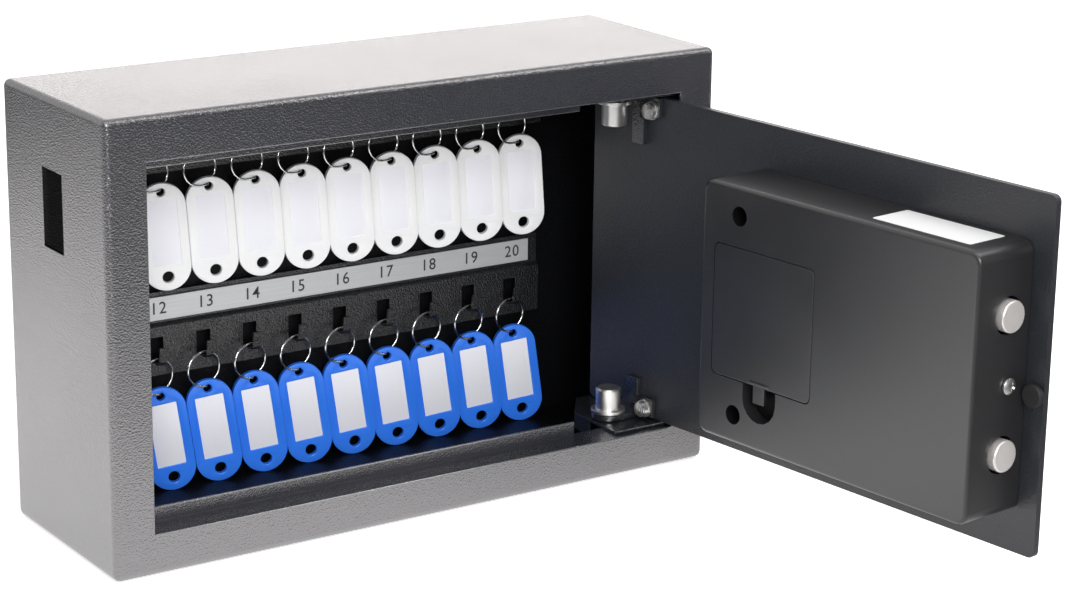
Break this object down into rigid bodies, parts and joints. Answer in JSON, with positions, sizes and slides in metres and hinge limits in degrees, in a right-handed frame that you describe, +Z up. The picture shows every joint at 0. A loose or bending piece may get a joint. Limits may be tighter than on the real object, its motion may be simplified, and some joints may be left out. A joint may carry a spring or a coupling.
{
  "type": "key cabinet",
  "caption": "Sheet-steel wall key cabinet with an electronic lock, its door open on two pin hinges, and tags hanging on two numbered hook rails inside",
  "frame": {"origin": "centre of the cabinet's underside, on the surface that it stands on", "axes": "+X along the front towards the hinges, +Y from the front to the back wall, +Z up"},
  "size_m": [0.3386, 0.3244, 0.2],
  "materials": {
    "cabinet_body": "anthracite fine-textured powder coat, semi-gloss",
    "hook_rails": "dark powder coat on pressed sheet",
    "number_strips": "silver printed strip with black digits",
    "hinge_plates": "dark powder coat",
    "hinge_pins": "bright zinc plated, turned",
    "door_plate": "dark powder coat, semi-gloss",
    "housing": "near-black moulded plastic, satin",
    "screws": "zinc plated",
    "rubber": "black rubber",
    "keys": "dark soft-touch plastic",
    "lights": "tinted light guide",
    "bolts": "satin nickel",
    "cells": "foil-wrapped dry cells",
    "tags_white": "white plastic with white card and steel ring",
    "tags_blue": "blue plastic with white card and steel ring"
  },
  "bodies": {
    "cabinet": {"cabinet_body": "cabinet_body", "hook_rail_upper": "hook_rails", "hook_rail_lower": "hook_rails", "number_strip_upper": "number_strips", "number_strip_lower": "number_strips", "hinge_bracket_upper": "hinge_plates", "hinge_bracket_lower": "hinge_plates", "hinge_pin_upper": "hinge_pins", "hinge_pin_lower": "hinge_pins"},
    "door": {"door_plate": "door_plate", "hinge_arm_upper": "hinge_plates", "hinge_arm_lower": "hinge_plates", "lock_housing": "housing", "housing_screw_side": "screws", "housing_screw_upper": "screws", "housing_screw_lower": "screws", "door_buffer": "rubber", "keypad_panel": "housing", "status_lights": "lights", "emergency_lock": "screws", "batteries": "cells", "solenoid": "screws"},
    "bolts": {"locking_bolt_upper": "bolts", "locking_bolt_lower": "bolts", "bolt_carriage": "screws"},
    "knob": {"lock_knob": "housing"},
    "cover": {"battery_cover": "housing"},
    "flap": {"emergency_flap": "housing"},
    "button_1": {"key_1": "keys"},
    "button_2": {"key_2": "keys"},
    "button_3": {"key_3": "keys"},
    "button_4": {"key_4": "keys"},
    "button_5": {"key_5": "keys"},
    "button_6": {"key_6": "keys"},
    "button_7": {"key_7": "keys"},
    "button_8": {"key_8": "keys"},
    "button_9": {"key_9": "keys"},
    "button_star": {"key_star": "keys"},
    "button_0": {"key_0": "keys"},
    "button_hash": {"key_hash": "keys"},
    "tag_01": {"key_tag_01": "tags_white"},
    "tag_02": {"key_tag_02": "tags_white"},
    "tag_03": {"key_tag_03": "tags_white"},
    "tag_04": {"key_tag_04": "tags_white"},
    "tag_05": {"key_tag_05": "tags_white"},
    "tag_06": {"key_tag_06": "tags_white"},
    "tag_07": {"key_tag_07": "tags_white"},
    "tag_08": {"key_tag_08": "tags_white"},
    "tag_09": {"key_tag_09": "tags_white"},
    "tag_10": {"key_tag_10": "tags_white"},
    "tag_11": {"key_tag_11": "tags_blue"},
    "tag_12": {"key_tag_12": "tags_blue"},
    "tag_13": {"key_tag_13": "tags_blue"},
    "tag_14": {"key_tag_14": "tags_blue"},
    "tag_15": {"key_tag_15": "tags_blue"},
    "tag_16": {"key_tag_16": "tags_blue"},
    "tag_17": {"key_tag_17": "tags_blue"},
    "tag_18": {"key_tag_18": "tags_blue"},
    "tag_19": {"key_tag_19": "tags_blue"},
    "tag_20": {"key_tag_20": "tags_blue"}
  },
  "joints": [
    {"name": "door_hinge", "type": "hinge", "parent": "cabinet", "child": "door", "pos_m": [0.115, -0.027, 0.1], "axis": [0, 0, 1], "range_deg": [-96.5, 0]},
    {"name": "bolt_slide", "type": "slide", "parent": "door", "child": "bolts", "axis": [0.1132, -0.9936, 0], "range_m": [0, 0.016]},
    {"name": "knob_turn", "type": "hinge", "parent": "door", "child": "knob", "pos_m": [0.16578, -0.20942, 0.084], "axis": [-0.9936, -0.1132, 0], "range_deg": [0, 90]},
    {"name": "cover_hinge", "type": "hinge", "parent": "door", "child": "cover", "pos_m": [0.1105, -0.14648, 0.129], "axis": [-0.1132, 0.9936, 0], "range_deg": [0, 20]},
    {"name": "flap_pivot", "type": "hinge", "parent": "door", "child": "flap", "pos_m": [0.16578, -0.20942, 0.1405], "axis": [-0.9936, -0.1132, 0], "range_deg": [-90, 90]},
    {"name": "press_1", "type": "slide", "parent": "door", "child": "button_1", "axis": [-0.9936, -0.1132, 0], "range_m": [0, 0.0008], "stiffness_N_per_m": 400},
    {"name": "press_2", "type": "slide", "parent": "door", "child": "button_2", "axis": [-0.9936, -0.1132, 0], "range_m": [0, 0.0008], "stiffness_N_per_m": 400},
    {"name": "press_3", "type": "slide", "parent": "door", "child": "button_3", "axis": [-0.9936, -0.1132, 0], "range_m": [0, 0.0008], "stiffness_N_per_m": 400},
    {"name": "press_4", "type": "slide", "parent": "door", "child": "button_4", "axis": [-0.9936, -0.1132, 0], "range_m": [0, 0.0008], "stiffness_N_per_m": 400},
    {"name": "press_5", "type": "slide", "parent": "door", "child": "button_5", "axis": [-0.9936, -0.1132, 0], "range_m": [0, 0.0008], "stiffness_N_per_m": 400},
    {"name": "press_6", "type": "slide", "parent": "door", "child": "button_6", "axis": [-0.9936, -0.1132, 0], "range_m": [0, 0.0008], "stiffness_N_per_m": 400},
    {"name": "press_7", "type": "slide", "parent": "door", "child": "button_7", "axis": [-0.9936, -0.1132, 0], "range_m": [0, 0.0008], "stiffness_N_per_m": 400},
    {"name": "press_8", "type": "slide", "parent": "door", "child": "button_8", "axis": [-0.9936, -0.1132, 0], "range_m": [0, 0.0008], "stiffness_N_per_m": 400},
    {"name": "press_9", "type": "slide", "parent": "door", "child": "button_9", "axis": [-0.9936, -0.1132, 0], "range_m": [0, 0.0008], "stiffness_N_per_m": 400},
    {"name": "press_star", "type": "slide", "parent": "door", "child": "button_star", "axis": [-0.9936, -0.1132, 0], "range_m": [0, 0.0008], "stiffness_N_per_m": 400},
    {"name": "press_0", "type": "slide", "parent": "door", "child": "button_0", "axis": [-0.9936, -0.1132, 0], "range_m": [0, 0.0008], "stiffness_N_per_m": 400},
    {"name": "press_hash", "type": "slide", "parent": "door", "child": "button_hash", "axis": [-0.9936, -0.1132, 0], "range_m": [0, 0.0008], "stiffness_N_per_m": 400},
    {"name": "swing_01", "type": "hinge", "parent": "cabinet", "child": "tag_01", "pos_m": [-0.112, 0.039, 0.15955], "axis": [-1, 0, 0], "range_deg": [-3, 25]},
    {"name": "swing_02", "type": "hinge", "parent": "cabinet", "child": "tag_02", "pos_m": [-0.088, 0.039, 0.15955], "axis": [-1, 0, 0], "range_deg": [-3, 25]},
    {"name": "swing_03", "type": "hinge", "parent": "cabinet", "child": "tag_03", "pos_m": [-0.064, 0.039, 0.15955], "axis": [-1, 0, 0], "range_deg": [-3, 25]},
    {"name": "swing_04", "type": "hinge", "parent": "cabinet", "child": "tag_04", "pos_m": [-0.04, 0.039, 0.15955], "axis": [-1, 0, 0], "range_deg": [-3, 25]},
    {"name": "swing_05", "type": "hinge", "parent": "cabinet", "child": "tag_05", "pos_m": [-0.016, 0.039, 0.15955], "axis": [-1, 0, 0], "range_deg": [-3, 25]},
    {"name": "swing_06", "type": "hinge", "parent": "cabinet", "child": "tag_06", "pos_m": [0.008, 0.039, 0.15955], "axis": [-1, 0, 0], "range_deg": [-3, 25]},
    {"name": "swing_07", "type": "hinge", "parent": "cabinet", "child": "tag_07", "pos_m": [0.032, 0.039, 0.15955], "axis": [-1, 0, 0], "range_deg": [-3, 25]},
    {"name": "swing_08", "type": "hinge", "parent": "cabinet", "child": "tag_08", "pos_m": [0.056, 0.039, 0.15955], "axis": [-1, 0, 0], "range_deg": [-3, 25]},
    {"name": "swing_09", "type": "hinge", "parent": "cabinet", "child": "tag_09", "pos_m": [0.08, 0.039, 0.15955], "axis": [-1, 0, 0], "range_deg": [-3, 25]},
    {"name": "swing_10", "type": "hinge", "parent": "cabinet", "child": "tag_10", "pos_m": [0.104, 0.039, 0.15955], "axis": [-1, 0, 0], "range_deg": [-3, 25]},
    {"name": "swing_11", "type": "hinge", "parent": "cabinet", "child": "tag_11", "pos_m": [-0.112, 0.039, 0.06495], "axis": [-1, 0, 0], "range_deg": [-3, 25]},
    {"name": "swing_12", "type": "hinge", "parent": "cabinet", "child": "tag_12", "pos_m": [-0.088, 0.039, 0.06495], "axis": [-1, 0, 0], "range_deg": [-3, 25]},
    {"name": "swing_13", "type": "hinge", "parent": "cabinet", "child": "tag_13", "pos_m": [-0.064, 0.039, 0.06495], "axis": [-1, 0, 0], "range_deg": [-3, 25]},
    {"name": "swing_14", "type": "hinge", "parent": "cabinet", "child": "tag_14", "pos_m": [-0.04, 0.039, 0.06495], "axis": [-1, 0, 0], "range_deg": [-3, 25]},
    {"name": "swing_15", "type": "hinge", "parent": "cabinet", "child": "tag_15", "pos_m": [-0.016, 0.039, 0.06495], "axis": [-1, 0, 0], "range_deg": [-3, 25]},
    {"name": "swing_16", "type": "hinge", "parent": "cabinet", "child": "tag_16", "pos_m": [0.008, 0.039, 0.06495], "axis": [-1, 0, 0], "range_deg": [-3, 25]},
    {"name": "swing_17", "type": "hinge", "parent": "cabinet", "child": "tag_17", "pos_m": [0.032, 0.039, 0.06495], "axis": [-1, 0, 0], "range_deg": [-3, 25]},
    {"name": "swing_18", "type": "hinge", "parent": "cabinet", "child": "tag_18", "pos_m": [0.056, 0.039, 0.06495], "axis": [-1, 0, 0], "range_deg": [-3, 25]},
    {"name": "swing_19", "type": "hinge", "parent": "cabinet", "child": "tag_19", "pos_m": [0.08, 0.039, 0.06495], "axis": [-1, 0, 0], "range_deg": [-3, 25]},
    {"name": "swing_20", "type": "hinge", "parent": "cabinet", "child": "tag_20", "pos_m": [0.104, 0.039, 0.06495], "axis": [-1, 0, 0], "range_deg": [-3, 25]}
  ],
  "couplings": [
    {"joint": "knob_turn", "follows": "bolt_slide", "rad_per_m": 98.17}
  ]
}
